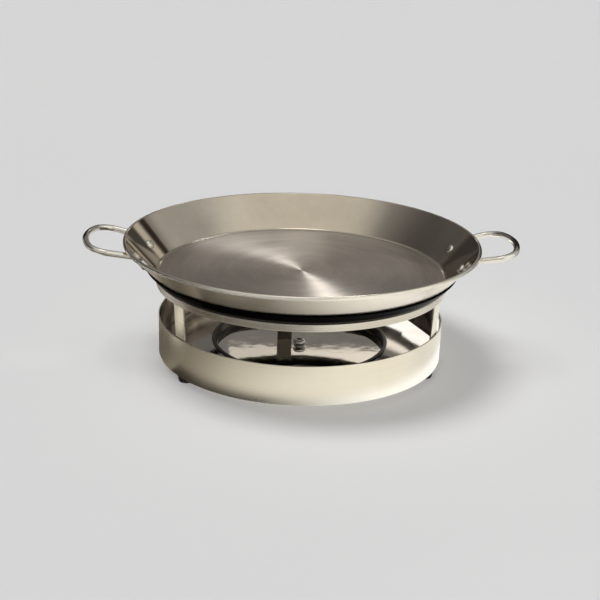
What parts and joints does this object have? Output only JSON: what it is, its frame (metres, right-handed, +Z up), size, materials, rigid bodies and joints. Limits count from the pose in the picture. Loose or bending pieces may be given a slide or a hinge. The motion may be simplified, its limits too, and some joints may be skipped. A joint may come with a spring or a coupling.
{
  "type": "paella burner",
  "caption": "Table-top paella burner: a wide steel pan with loop handles, seated in a black collar on a hoop and strip legs over a low round base with a lift-out fuel dish.",
  "frame": {"origin": "on the table, under the middle of the round base", "axes": "+Z up; +X along the two handles; -Y is the side that faces the viewer"},
  "size_m": [0.4896, 0.4, 0.1409],
  "materials": {
    "pan_steel": "spun and brushed",
    "handle_steel": "polished",
    "plate_steel": "satin",
    "rivet_steel": "polished",
    "seat_enamel": "gloss black enamel",
    "stand_steel": "satin",
    "tray_steel": "bright polished",
    "dish_steel": "mirror polished",
    "knob_steel": "polished",
    "foot_rubber": "matte",
    "fastener_steel": "zinc plated"
  },
  "bodies": {
    "stand": {"pan_seat": "seat_enamel", "support_ring": "stand_steel", "rear_leg": "stand_steel", "left_leg": "stand_steel", "right_leg": "stand_steel", "base_band": "stand_steel", "tray": "tray_steel", "rear_foot": "foot_rubber", "left_foot": "foot_rubber", "right_foot": "foot_rubber", "foot_studs": "fastener_steel", "foot_washers": "fastener_steel", "foot_nuts": "fastener_steel"},
    "pan": {"pan_shell": "pan_steel", "left_handle": "handle_steel", "right_handle": "handle_steel", "left_handle_plate": "plate_steel", "right_handle_plate": "plate_steel", "left_handle_rivets": "rivet_steel", "right_handle_rivets": "rivet_steel"},
    "dish": {"burner_dish": "dish_steel", "dish_knob": "knob_steel", "knob_washer": "fastener_steel", "knob_screw": "fastener_steel"}
  },
  "joints": [
    {"name": "pan_lift", "type": "slide", "parent": "stand", "child": "pan", "axis": [0, 0, 1], "range_m": [0, 0.1]},
    {"name": "dish_lift", "type": "slide", "parent": "stand", "child": "dish", "axis": [0, 0, 1], "range_m": [0, 0.07]}
  ]
}
